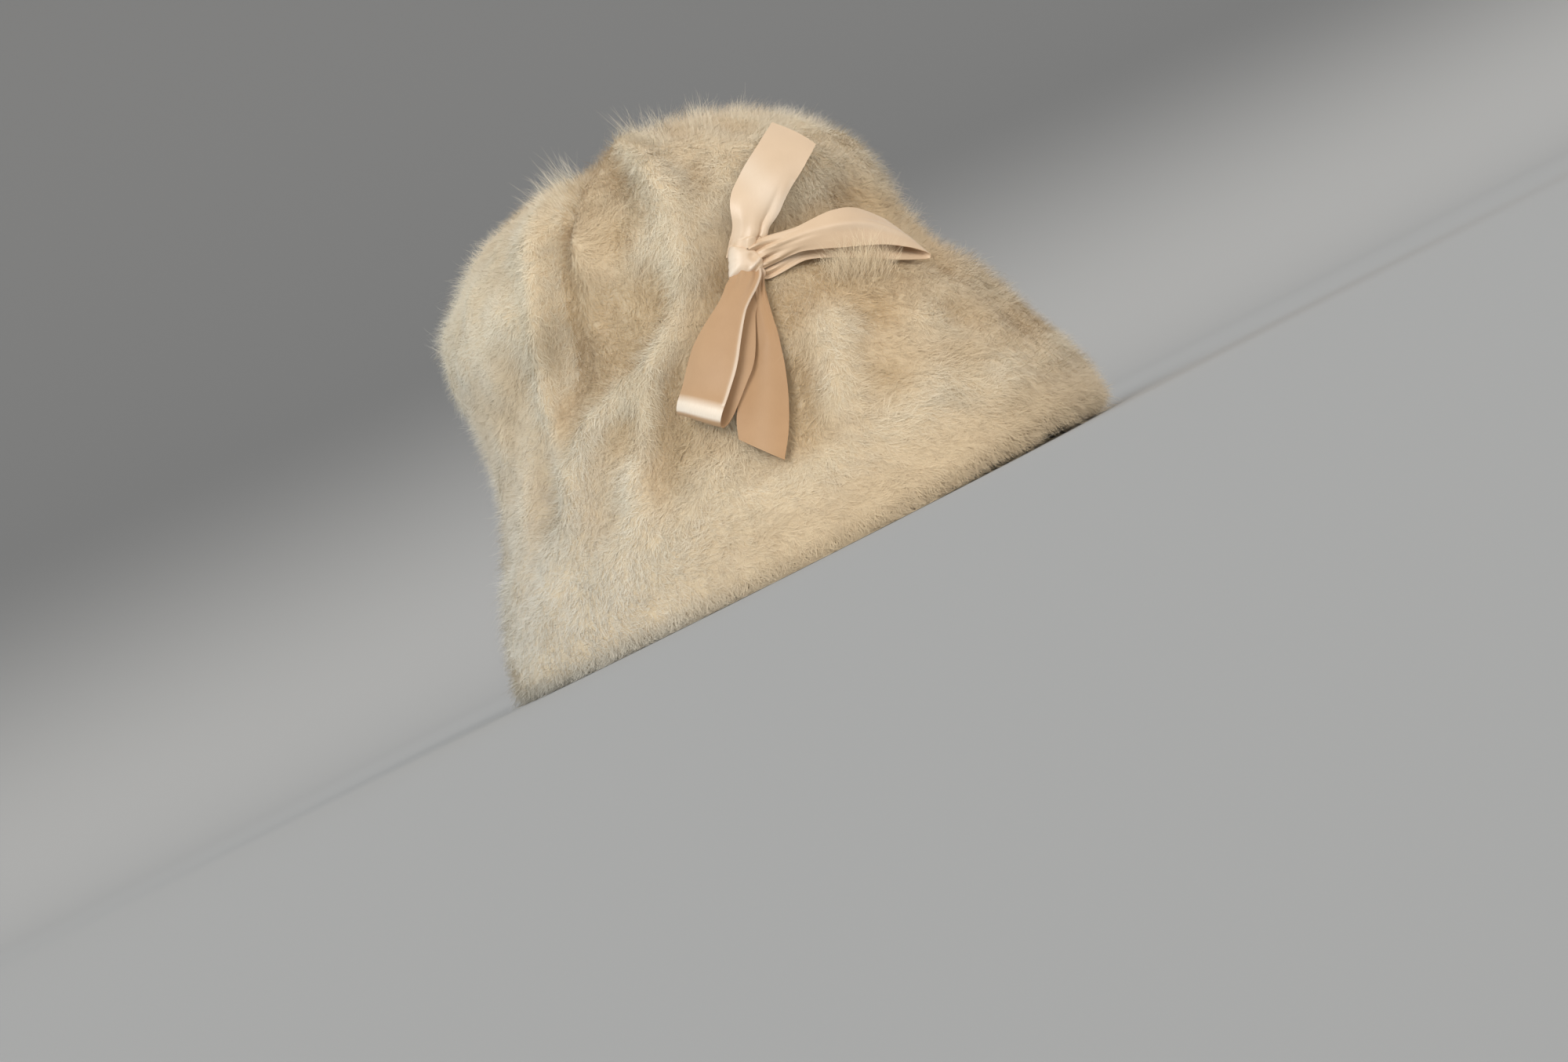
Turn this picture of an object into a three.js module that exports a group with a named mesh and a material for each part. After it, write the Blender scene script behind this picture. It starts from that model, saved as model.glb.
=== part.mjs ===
// A fur-felt cloche with a draped crown, a thick turned-under brim edge and a satin ribbon bow.
// Millimetres, +Z up. The rim rests on z = 0, the front faces -Y and the wearer's right is -X.
// A place on the hat is an angle in degrees, from the front toward the wearer's right, and a height z.
import * as THREE from 'three';
import { mergeVertices } from 'three/addons/utils/BufferGeometryUtils.js';

// Felt
const WALL = 7; // felt and its flattened pile
const INNER_SOFTENING = 6; // how much wider each fold is on the inner face than on the outer
const INNER_DEPTH = 1.15; // and how much deeper, so that the wall never thins out
const SQUARENESS = 2.1; // exponent of the oval sections; 2 is an ellipse
const FRONT_LIFT = 5; // how far the front of the brim stands off the floor
const FRONT_LIFT_ANGLE = 62; // where that lift begins, each side of the front
const FRONT_LIFT_FADE = 70; // height at which the lift has died out

// Mesh fineness
const STEPS_AROUND = 96;
const FINE_SIDE = 84; // angle about which the steps crowd, where the folds are tightest
const FINE_SHARE = 0.5; // how much closer together they are there
const STEPS_PER_SECTION = 3;
const INNER_STEP = 1; // sections from one inner ring to the next

// Ribbon
const RIBBON_THICKNESS = 1;
const RIBBON_STEPS_ACROSS = 4;
const RIBBON_STEPS_PER_ROW = 3;
const KNOT = {
  angle: 44,
  z: 107,
  lift: 4.4,
  halfWidth: 6.2,
  halfHeight: 6.2,
  halfDepth: 4.2,
  crease: 0.16,
  turn: 12,
};

// Outer form, rim to crown: half sizes front to back and side to side, and the shift toward the back.
const SECTIONS = [
  { z: 6, halfLength: 134, halfWidth: 119.5, shift: 0 },
  { z: 25, halfLength: 129.5, halfWidth: 114.7, shift: -1 },
  { z: 47, halfLength: 120, halfWidth: 105.7, shift: -2 },
  { z: 69, halfLength: 110.6, halfWidth: 96.8, shift: -3 },
  { z: 90, halfLength: 102, halfWidth: 88.9, shift: 1 },
  { z: 110, halfLength: 97, halfWidth: 84.4, shift: 3 },
  { z: 130, halfLength: 95.6, halfWidth: 83.2, shift: 3 },
  { z: 148, halfLength: 86, halfWidth: 74.8, shift: 3 },
  { z: 162, halfLength: 70.5, halfWidth: 61.3, shift: 3 },
  { z: 172, halfLength: 52, halfWidth: 45.2, shift: 3 },
  { z: 177.5, halfLength: 28, halfWidth: 24.4, shift: 3 },
  { z: 179, halfLength: 0, halfWidth: 0, shift: 3 },
];

// The turned-under edge, from the outer wall round to the inside: how far in, and the height.
const HEM = [
  { inset: 1, z: 2.6 },
  { inset: 3.4, z: 0.5 },
  { inset: 5, z: 0 },
  { inset: 9.5, z: 0 },
  { inset: 11.8, z: 1.4 },
  { inset: 13, z: 5 },
  { inset: 13, z: 12 },
];
const INNER_START = 0.95; // section at which the inner wall begins, above the hem

// Folds of the draped crown, each along its line: reach is the half width, rise is out (+) or in (-).
const FOLDS = [
  {
    name: 'main crest',
    reach: 8,
    angle: [52, 51, 54, 60, 74, 84, 88],
    z: [174, 148, 122, 104, 80, 54, 40],
    rise: [5, 7, 7, 7, 6, 4, 1],
  },
  {
    name: 'main valley',
    reach: 7,
    angle: [44, 50, 55, 62, 69, 76, 81, 85],
    z: [144, 124, 109, 96, 84, 69, 56, 44],
    rise: [-2, -3, -3, -4, -6, -7, -6, -1],
  },
  {
    name: 'diagonal crest',
    reach: 6,
    angle: [66, 73, 82, 95],
    z: [94, 90, 87, 80],
    rise: [2, 5, 6, 4],
  },
  {
    name: 'sunken panel',
    reach: 15,
    angle: [64, 68, 74, 79, 86],
    z: [174, 150, 128, 114, 102],
    rise: [-2, -4, -5, -5, -4],
  },
  {
    name: 'lobe foot',
    reach: 6,
    angle: [83, 84, 86, 90, 94, 96],
    z: [170, 150, 132, 114, 98, 90],
    rise: [-3, -6, -7, -8, -8, -5],
  },
  {
    name: 'lobe crest',
    reach: 7,
    angle: [88, 89, 91, 95, 99, 103],
    z: [170, 150, 132, 114, 98, 84],
    rise: [3, 4, 5, 5, 4, 2],
  },
  {
    name: 'short valley',
    reach: 6,
    angle: [107, 111, 115, 118],
    z: [84, 74, 64, 50],
    rise: [-2, -6, -5, -1],
  },
  {
    name: 'low crest',
    reach: 8,
    angle: [98, 101, 104],
    z: [76, 66, 50],
    rise: [2, 4, 1],
  },
  {
    name: 'bow crest',
    reach: 11,
    angle: [33, 39, 45],
    z: [90, 72, 52],
    rise: [1, 3, 1],
  },
  {
    name: 'bow valley',
    reach: 10,
    angle: [46, 51, 56],
    z: [82, 62, 34],
    rise: [-1, -4, -1],
  },
  {
    name: 'front valley',
    reach: 10,
    angle: [25, 31, 38],
    z: [84, 68, 52],
    rise: [-1, -3, -1],
  },
  {
    name: 'front dimple',
    reach: 12,
    angle: [2, 5],
    z: [134, 116],
    rise: [-2, -3],
  },
  {
    name: 'front swell',
    reach: 11,
    angle: [12, 16],
    z: [138, 128],
    rise: [2, 2],
  },
  {
    name: 'top dent',
    reach: 13,
    angle: [84, 84, -100, -104],
    z: [170, 176, 175, 160],
    rise: [-1, -2, -5, -1],
  },
  {
    name: 'left crest',
    reach: 15,
    angle: [-62, -72, -86, -98],
    z: [170, 140, 105, 66],
    rise: [1, 5, 6, 1],
  },
  {
    name: 'left valley',
    reach: 12,
    angle: [-82, -94, -108],
    z: [162, 124, 84],
    rise: [-1, -7, -2],
  },
  {
    name: 'back crest',
    reach: 15,
    angle: [146, 156, 168],
    z: [168, 132, 82],
    rise: [1, 5, 1],
  },
  {
    name: 'back valley',
    reach: 12,
    angle: [166, 176, 188],
    z: [165, 125, 76],
    rise: [-1, -6, -1],
  },
];

// Locks of the pile: crossed waves that sum to uneven tufts, in turns round the hat and per mm of height.
const LOCK_WAVES = [
  { around: 17, upward: 0.024, rise: 0.5 },
  { around: -11, upward: 0.033, rise: 0.45 },
  { around: 25, upward: -0.015, rise: 0.35 },
  { around: 6, upward: 0.047, rise: 0.4 },
];

// Ribbon strips, row by row: each row joins one edge of the ribbon to the other across its width.
// A place is [angle, z, lift off the felt]; bow is how far the middle of the row stands out.
const TAIL_UP = [
  { edge: [42.2, 114.4, 5], other: [40.4, 114.2, 6], bow: 1 },
  { edge: [42.2, 119, 6], other: [37.6, 114.4, 7], bow: 1.5 },
  { edge: [41, 128, 7.5], other: [34, 117, 8], bow: 1 },
  { edge: [35, 136, 8.5], other: [28, 123, 8.5], bow: 0.5 },
  { edge: [27, 142, 8], other: [21.5, 128, 8], bow: 0 },
  { edge: [17.5, 148, 7], other: [14, 133, 7], bow: 0 },
];
const LOOP_FRONT = [
  { edge: [40, 108.8, 6], other: [40.2, 105.9, 4.8], bow: 0.5 },
  { edge: [31, 108, 8.5], other: [32, 101.5, 6], bow: 1.5 },
  { edge: [22, 107.6, 10], other: [23.5, 96.5, 6.5], bow: 1.5 },
  { edge: [14, 104.5, 9], other: [13.5, 91, 6], bow: 1 },
  { edge: [7.5, 97, 7], other: [5, 84, 4.5], bow: 0.3 },
  { edge: [5.5, 94, 4.6], other: [3.2, 82, 3.2], bow: 0 },
  { edge: [9, 95, 3.2], other: [6, 83, 2.2], bow: 0 },
  { edge: [22, 102, 4], other: [22, 95, 2.6], bow: 0 },
  { edge: [32, 104.6, 4], other: [32, 100, 2.8], bow: 0 },
  { edge: [40.3, 104.3, 3.6], other: [40.6, 102.2, 2.8], bow: 0 },
];
const LOOP_DOWN = [
  { edge: [47, 101.2, 6.4], other: [45.2, 99.8, 6.4], bow: 0.5 },
  { edge: [53.6, 94.4, 9.5], other: [50.2, 87.6, 9], bow: 1 },
  { edge: [60.4, 86, 10.5], other: [55.6, 76, 9.5], bow: 1 },
  { edge: [67, 76.5, 10], other: [60.2, 64.5, 9.5], bow: 0.5 },
  { edge: [71, 70, 9.5], other: [62.8, 56.2, 9.5], bow: 0 },
  { edge: [72, 68.2, 7.8], other: [63.6, 54, 7.8], bow: 0 },
  { edge: [70.6, 69.6, 6.4], other: [62, 55.6, 6.4], bow: 0 },
  { edge: [65, 77, 6.2], other: [57.6, 65.5, 6.2], bow: 0 },
  { edge: [58, 85.5, 6], other: [53, 76, 6], bow: 0 },
  { edge: [51.6, 93.6, 5.4], other: [48.6, 87.6, 5.4], bow: 0 },
  { edge: [46.8, 99.9, 4.2], other: [45.4, 99.2, 4.2], bow: 0 },
];
const TAIL_DOWN = [
  { edge: [44.6, 99.8, 2.4], other: [42.8, 100.4, 2.4], bow: 0.6 },
  { edge: [49, 90.6, 3], other: [44, 93.6, 3], bow: 0.8 },
  { edge: [54.4, 79, 3.2], other: [46.6, 82.6, 3.2], bow: 0.5 },
  { edge: [60, 64, 3.2], other: [50.8, 66, 3.2], bow: 0.3 },
  { edge: [64.4, 51.8, 3], other: [57, 33.4, 3], bow: 0 },
];

const { clamp, smoothstep, lerp, degToRad, radToDeg, euclideanModulo } = THREE.MathUtils;

// A smooth blend of a table's rows at a fractional row number, column by column.
function blendRows(rows, at) {
  const last = rows.length - 1;
  const start = Math.min(Math.floor(at), last - 1);
  const part = at - start;
  const column = (name) => {
    const value = (i) => rows[i][name];
    const before = start > 0 ? value(start - 1) : 2 * value(0) - value(1);
    const after = start + 2 <= last ? value(start + 2) : 2 * value(last) - value(last - 1);
    const slopeIn = (value(start + 1) - before) / 2;
    const slopeOut = (after - value(start)) / 2;
    const rise = value(start + 1) - value(start);
    const cubic = slopeIn + slopeOut - 2 * rise;
    const square = rise - slopeIn - cubic;
    return value(start) + part * (slopeIn + part * (square + part * cubic));
  };
  return Object.fromEntries(Object.keys(rows[0]).map((name) => [name, column(name)]));
}

function frontLift(angle, z) {
  const turn = Math.abs(euclideanModulo(angle + 180, 360) - 180);
  const fade = 1 - smoothstep(z, 0, FRONT_LIFT_FADE);
  return FRONT_LIFT * fade * (1 - smoothstep(turn, 0, FRONT_LIFT_ANGLE));
}

// The smooth outer form without folds, at an angle and a fractional section number.
function formPoint(angle, section) {
  const { z, halfLength, halfWidth, shift } = blendRows(SECTIONS, section);
  const sine = Math.sin(degToRad(angle));
  const cosine = Math.cos(degToRad(angle));
  const square = (Math.abs(sine) ** SQUARENESS + Math.abs(cosine) ** SQUARENESS) ** (-1 / SQUARENESS);
  return new THREE.Vector3(-halfWidth * square * sine, shift - halfLength * square * cosine, z);
}

function formNormal(angle, section) {
  const last = SECTIONS.length - 1.02;
  const at = clamp(section, 0.01, last);
  const around = formPoint(angle + 0.5, at).sub(formPoint(angle - 0.5, at));
  const upward = formPoint(angle, at + 0.01).sub(formPoint(angle, at - 0.01));
  return upward.cross(around).normalize();
}

function sectionAtHeight(z) {
  let low = 0;
  let high = SECTIONS.length - 1;
  while (high - low > 1e-4) {
    const middle = (low + high) / 2;
    if (blendRows(SECTIONS, middle).z < z) low = middle;
    else high = middle;
  }
  return low;
}

// Each fold as a line of points on the form, each with the fold's rise there.
function traceFold({ reach, angle, z, rise }) {
  const spine = new THREE.CatmullRomCurve3(angle.map((a, i) => formPoint(a, sectionAtHeight(z[i]))));
  const riseRows = rise.map((value) => ({ rise: value }));
  const count = 8 * (angle.length - 1);
  const points = [];
  for (let i = 0; i <= count; i += 1) {
    const at = spine.getPoint(i / count);
    points.push({ at, rise: blendRows(riseRows, (i / count) * (angle.length - 1)).rise });
  }
  return { reach, points };
}

const tracedFolds = FOLDS.map(traceFold);

function foldRise(point, softening = 0) {
  let total = 0;
  for (const { reach, points } of tracedFolds) {
    const distances = points.map(({ at }) => at.distanceToSquared(point));
    const nearest = Math.min(...distances);
    const { rise } = points[distances.indexOf(nearest)];
    total += rise * Math.exp(-nearest / (reach ** 2 + softening ** 2));
  }
  return total;
}

function lockRise(angle, z) {
  let total = 0;
  for (const { around, upward, rise } of LOCK_WAVES) {
    total += rise * Math.sin(degToRad(around * angle) + 2 * Math.PI * upward * z);
  }
  return total * smoothstep(z, 10, 30) * (1 - smoothstep(z, 165, 178));
}

// The felt's outer face with its folds and lift; clearance moves the point off it along the normal.
function feltPoint(angle, section, clearance) {
  const point = formPoint(angle, section);
  const normal = formNormal(angle, section);
  const rise = foldRise(point) + clearance;
  point.addScaledVector(normal, rise);
  point.z += frontLift(angle, point.z);
  return point;
}

function outerRing(section) {
  const height = blendRows(SECTIONS, section).z;
  return ringOf((angle) => feltPoint(angle, section, lockRise(angle, height)));
}

function hemRing({ inset, z }) {
  return ringOf((angle) => {
    const point = formPoint(angle, 0);
    const inward = formNormal(angle, 0).setZ(0).normalize();
    point.addScaledVector(inward, -inset);
    point.z = z + frontLift(angle, z);
    return point;
  });
}

function innerRing(section) {
  return ringOf((angle) => {
    const point = formPoint(angle, section);
    const rise = INNER_DEPTH * foldRise(point, INNER_SOFTENING);
    point.addScaledVector(formNormal(angle, section), rise - WALL);
    point.z += frontLift(angle, point.z);
    return point;
  });
}

// One closed ring of places, crowded on the side with the tightest folds.
function ringOf(place) {
  return Array.from({ length: STEPS_AROUND }, (_, i) => {
    const even = (360 * i) / STEPS_AROUND;
    return place(even - radToDeg(FINE_SHARE * Math.sin(degToRad(even - FINE_SIDE))));
  });
}

function geometryFrom(points, triangles) {
  const geometry = new THREE.BufferGeometry();
  const coordinates = points.flatMap((point) => point.toArray());
  geometry.setAttribute('position', new THREE.Float32BufferAttribute(coordinates, 3));
  geometry.setIndex(triangles.flat());
  geometry.computeVertexNormals();
  return geometry;
}

// A closed shell: rings one after another from the outer apex over the hem to the inner apex.
function shellGeometry(outerApex, rings, innerApex) {
  const points = [outerApex, ...rings.flat(), innerApex];
  const index = (ring, step) => 1 + ring * STEPS_AROUND + (step % STEPS_AROUND);
  const last = points.length - 1;
  const triangles = [];
  for (let step = 0; step < STEPS_AROUND; step += 1) {
    triangles.push([0, index(0, step + 1), index(0, step)]);
    for (let ring = 0; ring + 1 < rings.length; ring += 1) {
      const [a, b] = [index(ring, step), index(ring, step + 1)];
      const [c, d] = [index(ring + 1, step + 1), index(ring + 1, step)];
      triangles.push([a, b, c], [a, c, d]);
    }
    triangles.push([last, index(rings.length - 1, step), index(rings.length - 1, step + 1)]);
  }
  return geometryFrom(points, triangles);
}

function hatBody() {
  const top = SECTIONS.length - 1;
  const rings = [];
  for (let step = top * STEPS_PER_SECTION - 1; step >= 0; step -= 1) {
    rings.push(outerRing(step / STEPS_PER_SECTION));
  }
  HEM.forEach((row) => rings.push(hemRing(row)));
  for (let section = INNER_START; section < top - 0.3; section += INNER_STEP) {
    rings.push(innerRing(section));
  }
  const apex = formPoint(0, top);
  const outerApex = apex.clone().setZ(apex.z + foldRise(apex));
  const innerApex = outerApex.clone().setZ(outerApex.z - WALL);
  return shellGeometry(outerApex, rings, innerApex);
}

// A closed strip of even thickness about a grid of points, row by row.
function stripGeometry(grid, thickness) {
  const [rows, columns] = [grid.length, grid[0].length];
  const at = (i, j) => grid[clamp(i, 0, rows - 1)][clamp(j, 0, columns - 1)];
  const points = [];
  for (const side of [0.5, -0.5]) {
    grid.forEach((row, i) => row.forEach((point, j) => {
      const along = at(i + 1, j).clone().sub(at(i - 1, j));
      const across = at(i, j + 1).clone().sub(at(i, j - 1));
      const normal = along.cross(across).normalize();
      points.push(point.clone().addScaledVector(normal, side * thickness));
    }));
  }
  const index = (side, i, j) => side * rows * columns + i * columns + j;
  const triangles = [];
  const quad = (a, b, c, d) => triangles.push([a, b, c], [a, c, d]);
  for (let i = 0; i + 1 < rows; i += 1) {
    for (let j = 0; j + 1 < columns; j += 1) {
      quad(index(0, i, j), index(0, i + 1, j), index(0, i + 1, j + 1), index(0, i, j + 1));
      quad(index(1, i, j), index(1, i, j + 1), index(1, i + 1, j + 1), index(1, i + 1, j));
    }
    quad(index(0, i, 0), index(1, i, 0), index(1, i + 1, 0), index(0, i + 1, 0));
    const j = columns - 1;
    quad(index(0, i, j), index(0, i + 1, j), index(1, i + 1, j), index(1, i, j));
  }
  for (let j = 0; j + 1 < columns; j += 1) {
    quad(index(0, 0, j), index(0, 0, j + 1), index(1, 0, j + 1), index(1, 0, j));
    const i = rows - 1;
    quad(index(0, i, j), index(1, i, j), index(1, i, j + 1), index(0, i, j + 1));
  }
  return geometryFrom(points, triangles);
}

function onFelt([angle, z, lift]) {
  return feltPoint(angle, sectionAtHeight(z), lift);
}

function ribbonStrip(rows) {
  const table = rows.map(({ edge: [angle, z, lift], other: [otherAngle, otherZ, otherLift], bow }) => {
    return { angle, z, lift, otherAngle, otherZ, otherLift, bow };
  });
  const steps = RIBBON_STEPS_PER_ROW * (rows.length - 1);
  const grid = [];
  for (let i = 0; i <= steps; i += 1) {
    const row = blendRows(table, i / RIBBON_STEPS_PER_ROW);
    const line = [];
    for (let j = 0; j <= RIBBON_STEPS_ACROSS; j += 1) {
      const part = j / RIBBON_STEPS_ACROSS;
      const angle = lerp(row.angle, row.otherAngle, part);
      const lift = lerp(row.lift, row.otherLift, part) + row.bow * Math.sin(Math.PI * part);
      line.push(onFelt([angle, lerp(row.z, row.otherZ, part), lift]));
    }
    grid.push(line);
  }
  return stripGeometry(grid, RIBBON_THICKNESS);
}

// The knot is a ball of wrapped ribbon, flattened against the felt, squared a little and creased across.
function knotGeometry() {
  const geometry = new THREE.SphereGeometry(1, 16, 10);
  geometry.deleteAttribute('normal');
  geometry.deleteAttribute('uv');
  const ball = mergeVertices(geometry, 1e-4);
  const position = ball.getAttribute('position');
  const squared = (value) => Math.sign(value) * Math.abs(value) ** 0.8;
  for (let i = 0; i < position.count; i += 1) {
    const [x, y, z] = [position.getX(i), position.getY(i), position.getZ(i)].map(squared);
    const fold = 1 - KNOT.crease * Math.exp(-(((x - 0.4 * y - 0.3) / 0.28) ** 2));
    position.setXYZ(i, x * fold * KNOT.halfWidth, y * KNOT.halfHeight, z * fold * KNOT.halfDepth);
  }
  const outward = formNormal(KNOT.angle, sectionAtHeight(KNOT.z));
  const sideways = new THREE.Vector3(0, 0, 1).cross(outward).normalize();
  const upward = outward.clone().cross(sideways);
  ball.rotateZ(degToRad(KNOT.turn));
  ball.applyMatrix4(new THREE.Matrix4().makeBasis(sideways, upward, outward));
  const place = onFelt([KNOT.angle, KNOT.z, KNOT.lift]);
  ball.translate(place.x, place.y, place.z);
  ball.computeVertexNormals();
  return ball;
}

function piece(name, geometry, material) {
  const mesh = new THREE.Mesh(geometry, material);
  mesh.name = name;
  return mesh;
}

const felt = new THREE.MeshStandardMaterial({ color: 0xcdb993, roughness: 0.95, metalness: 0 });
const satin = new THREE.MeshStandardMaterial({ color: 0xe3bd9b, roughness: 0.35, metalness: 0 });

const hat = new THREE.Group();
hat.add(piece('hat_body', hatBody(), felt));
hat.add(piece('bow_knot', knotGeometry(), satin));
hat.add(piece('bow_tail_up', ribbonStrip(TAIL_UP), satin));
hat.add(piece('bow_loop_front', ribbonStrip(LOOP_FRONT), satin));
hat.add(piece('bow_loop_down', ribbonStrip(LOOP_DOWN), satin));
hat.add(piece('bow_tail_down', ribbonStrip(TAIL_DOWN), satin));

export default hat;
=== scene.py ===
"""A long-haired felt cloche with a draped crown and a satin ribbon bow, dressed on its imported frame."""
import math

import bpy
import numpy as np
from mathutils import Matrix, Vector
from mathutils.bvhtree import BVHTree
from mathutils.kdtree import KDTree


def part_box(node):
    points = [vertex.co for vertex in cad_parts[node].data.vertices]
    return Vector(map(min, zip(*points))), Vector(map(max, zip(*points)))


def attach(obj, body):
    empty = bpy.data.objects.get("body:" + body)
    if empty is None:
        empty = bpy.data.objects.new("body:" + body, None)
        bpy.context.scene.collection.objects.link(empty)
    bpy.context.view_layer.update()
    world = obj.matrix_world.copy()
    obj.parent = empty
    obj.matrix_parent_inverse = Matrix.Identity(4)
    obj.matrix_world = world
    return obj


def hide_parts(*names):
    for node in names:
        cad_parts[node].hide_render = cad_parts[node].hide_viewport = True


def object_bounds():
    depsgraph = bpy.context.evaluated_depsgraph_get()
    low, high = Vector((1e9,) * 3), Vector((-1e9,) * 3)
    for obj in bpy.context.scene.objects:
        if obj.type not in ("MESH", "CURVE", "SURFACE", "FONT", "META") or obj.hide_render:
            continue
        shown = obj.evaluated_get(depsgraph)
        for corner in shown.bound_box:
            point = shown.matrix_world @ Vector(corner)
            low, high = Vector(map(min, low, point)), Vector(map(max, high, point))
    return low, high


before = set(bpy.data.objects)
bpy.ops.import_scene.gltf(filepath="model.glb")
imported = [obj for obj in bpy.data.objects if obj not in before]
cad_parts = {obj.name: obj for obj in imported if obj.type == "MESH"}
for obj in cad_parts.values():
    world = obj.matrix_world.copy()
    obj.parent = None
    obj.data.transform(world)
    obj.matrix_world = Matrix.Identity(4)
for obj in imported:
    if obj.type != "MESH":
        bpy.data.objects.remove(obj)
cad_low, cad_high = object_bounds()

# ------------------------------------------------------------
# The studio. The hat stands by itself on a pale floor that runs up into a pale wall, in soft light.
# The camera stands low at the bow's side, tipped, so that the hat leans as it does when it is worn.
# ------------------------------------------------------------
HAT_MIDDLE = Vector((0.0, 0.0, 0.5 * (cad_low.z + cad_high.z)))
SIDE_ANGLE = math.radians(57)    # from the front of the hat toward the wearer's right
CAMERA_AWAY = 1.0
CAMERA_HEIGHT = 0.012
CAMERA_TIP = math.radians(27)
HAT_ABOVE_CENTRE = 0.069         # how far the hat stands above the picture's centre
HAT_LEFT_OF_CENTRE = 0.028
FIELD_ACROSS = 0.625             # how much the picture takes in at the hat, in metres
SENSOR_WIDTH = 36                # in millimetres
LIGHT_AWAY = 2
FLOOR_SIZE = 8
WALL_HEIGHT = 4
SWEEP_WIDTH = 2.4                # how much of the floor and the wall the bend takes
WALL_DIMMED_BY = 0.55            # how high up the wall the paper has reached its darker grey
FLOOR_GREY = (0.45, 0.455, 0.46, 1)
WALL_GREY = (0.17, 0.175, 0.18, 1)


def toward(bearing, rise=0.0):
    """The direction at an angle from the front toward the wearer's right, and above the floor."""
    level = math.cos(rise)
    return Vector((-math.sin(bearing) * level, -math.cos(bearing) * level, math.sin(rise)))


toward_camera = toward(SIDE_ANGLE)
camera_place = toward_camera * CAMERA_AWAY
camera_place.z = CAMERA_HEIGHT
view_line = (HAT_MIDDLE - camera_place).normalized()
level_right = view_line.cross(Vector((0, 0, 1))).normalized()
level_up = level_right.cross(view_line).normalized()
picture_up = level_up * math.cos(CAMERA_TIP) + level_right * math.sin(CAMERA_TIP)
picture_right = level_right * math.cos(CAMERA_TIP) - level_up * math.sin(CAMERA_TIP)
aim = HAT_MIDDLE - picture_up * HAT_ABOVE_CENTRE + picture_right * HAT_LEFT_OF_CENTRE
look = (aim - camera_place).normalized()
right = (picture_right - look * picture_right.dot(look)).normalized()
up = right.cross(look)

bpy.ops.object.camera_add(location=camera_place)
camera = bpy.context.object
camera.name = "camera"
camera.rotation_mode = "QUATERNION"
camera.rotation_quaternion = Matrix((right, up, -look)).transposed().to_quaternion()
camera.data.sensor_width = SENSOR_WIDTH
camera.data.lens = SENSOR_WIDTH * CAMERA_AWAY / FIELD_ACROSS
camera.data.clip_start = 0.01
camera.data.clip_end = 30
bpy.context.scene.camera = camera


def soft_light(name, turn, height, softness, strength, colour):
    """A large soft light: its degrees to the camera's right, above the floor and across, its strength."""
    line = toward(SIDE_ANGLE - math.radians(turn), math.radians(height))
    bpy.ops.object.light_add(type="SUN", location=HAT_MIDDLE + line * LIGHT_AWAY)
    light = bpy.context.object
    light.name = name
    light.rotation_mode = "QUATERNION"
    light.rotation_quaternion = line.to_track_quat("Z", "Y")
    light.data.angle = math.radians(softness)
    light.data.energy = strength
    light.data.color = colour


soft_light("key_light", -17, 27, 28, 1.66, (1.0, 0.985, 0.96))
soft_light("window_light", -82, 12, 50, 1.12, (0.68, 0.87, 1.0))
soft_light("fill_light", 48, 11, 50, 1.4, (1.0, 0.93, 0.84))
soft_light("back_light", 165, 30, 45, 0.2, (1.0, 0.98, 0.95))

world = bpy.data.worlds.new("soft_room")
world.use_nodes = True
background = world.node_tree.nodes["Background"].inputs
background["Color"].default_value = (1.0, 0.98, 0.945, 1)
background["Strength"].default_value = 0.48
bpy.context.scene.world = world
bpy.context.scene.view_settings.view_transform = "Standard"


def edit_all(change, **settings):
    """Makes one change to the whole mesh of the active object."""
    bpy.ops.object.mode_set(mode="EDIT")
    bpy.ops.mesh.select_all(action="SELECT")
    change(**settings)
    bpy.ops.object.mode_set(mode="OBJECT")


bpy.ops.mesh.primitive_plane_add(size=FLOOR_SIZE, location=(0, 0, 0))
floor = bpy.context.object
floor.name = "floor"
edit_all(bpy.ops.transform.rotate, value=-SIDE_ANGLE, orient_axis="Z", center_override=(0, 0, 0))
for part in (*floor.data.vertices, *floor.data.edges, *floor.data.polygons):
    part.select = False
at_back = [point.co.dot(toward_camera) < -FLOOR_SIZE / 4 for point in floor.data.vertices]
for edge in floor.data.edges:
    if all(at_back[i] for i in edge.vertices):
        edge.select = True
        for i in edge.vertices:
            floor.data.vertices[i].select = True
bpy.ops.object.mode_set(mode="EDIT")
bpy.ops.mesh.select_mode(type="EDGE")
bpy.ops.mesh.extrude_region_move(TRANSFORM_OT_translate={"value": (0, 0, WALL_HEIGHT)})
bpy.ops.object.mode_set(mode="OBJECT")
bend = floor.modifiers.new("sweep", "BEVEL")
bend.width = SWEEP_WIDTH
bend.segments = 24
bend.limit_method = "ANGLE"
bpy.ops.object.modifier_apply(modifier="sweep")
bpy.ops.object.shade_smooth()


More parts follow.
